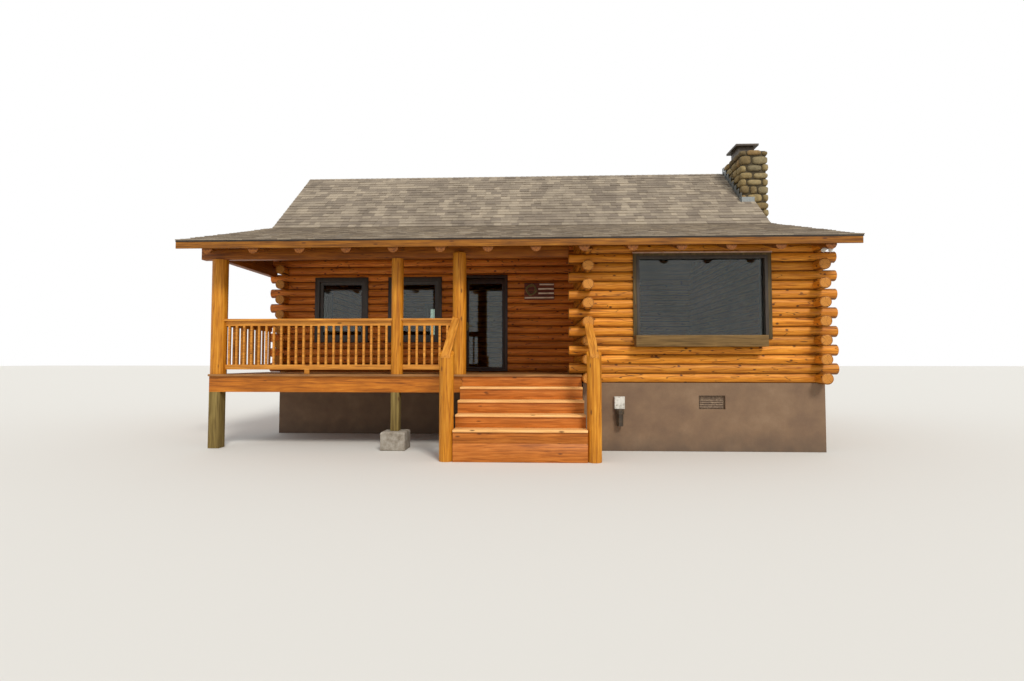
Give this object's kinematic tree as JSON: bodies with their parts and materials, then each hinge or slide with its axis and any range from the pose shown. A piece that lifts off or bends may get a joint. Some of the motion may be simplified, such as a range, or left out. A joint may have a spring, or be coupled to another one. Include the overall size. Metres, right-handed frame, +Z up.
{
  "type": "log cabin",
  "caption": "Log cabin with a recessed front porch, a projecting wing, a board stair, a shingled roof over round log rafters and an outside fieldstone chimney.",
  "frame": {"origin": "ground level under the middle of the building's bounding box", "axes": "+Z up, -Y towards the front porch, the stair and the picture window, +X to the right as seen from the front"},
  "size_m": [12.01, 9.29, 7.051],
  "materials": {
    "log_wall": "satin",
    "log_rafter": "satin",
    "porch_post": "satin",
    "rail_wood": "satin",
    "stair_wood": "satin",
    "treated_wood": "matte",
    "deck_wood": "matte",
    "fascia_wood": "satin",
    "frame_wood": "satin",
    "trim_wood": "satin",
    "painted_board": "satin",
    "door_wood": "satin",
    "floor_wood": "satin",
    "roofing": "matte",
    "glass": "gloss",
    "painted_masonry": "matte",
    "concrete": "matte",
    "fieldstone": "matte",
    "dark_steel": "satin",
    "brass_bronze": "satin",
    "grey_plastic": "satin",
    "white_metal": "satin"
  },
  "bodies": {
    "cabin": {"foundation_long_walls": "painted_masonry", "foundation_side_walls": "painted_masonry", "main_floor": "floor_wood", "wing_floor": "floor_wood", "wing_front_wall": "log_wall", "wing_side_wall": "log_wall", "porch_wall_left": "log_wall", "porch_wall_middle": "log_wall", "porch_wall_right": "log_wall", "left_wall": "log_wall", "right_wall": "log_wall", "back_wall": "log_wall", "gable_walls": "log_wall", "wing_gable": "log_wall", "frieze_boards": "fascia_wood", "log_rafters": "log_rafter", "purlins": "log_rafter", "porch_roof": "roofing", "front_roof": "roofing", "back_roof": "roofing", "ridge_cap": "roofing", "fascia_boards": "fascia_wood", "rake_boards": "fascia_wood", "porch_gable_board": "fascia_wood", "chimney_stack": "fieldstone", "chimney_cap": "dark_steel", "header_beam": "fascia_wood", "side_beam": "fascia_wood", "porch_posts": "porch_post", "porch_deck": "deck_wood", "deck_frame": "treated_wood", "deck_legs": "treated_wood", "concrete_pier": "concrete", "front_rails": "rail_wood", "side_rail": "rail_wood", "stair_treads": "stair_wood", "stair_risers": "stair_wood", "stair_stringers": "stair_wood", "stair_newels": "porch_post", "stair_handrails": "rail_wood", "window_frames": "frame_wood", "window_glass": "glass", "door_frame": "door_wood", "door_hinges": "brass_bronze", "picture_trim": "trim_wood", "wall_plaque": "painted_board", "flower_box": "trim_wood", "foundation_vent": "dark_steel", "outlet_box": "grey_plastic", "foundation_lamp": "dark_steel", "floodlight": "white_metal"},
    "front_door": {"front_door": "door_wood", "door_glass": "glass", "door_handle": "brass_bronze", "leaf_hinges": "brass_bronze"}
  },
  "joints": [
    {"name": "front_door_hinge", "type": "hinge", "parent": "cabin", "child": "front_door", "pos_m": [-0.4275, -1.1527, 2.407], "axis": [0, 0, -1], "range_deg": [0, 90]}
  ]
}
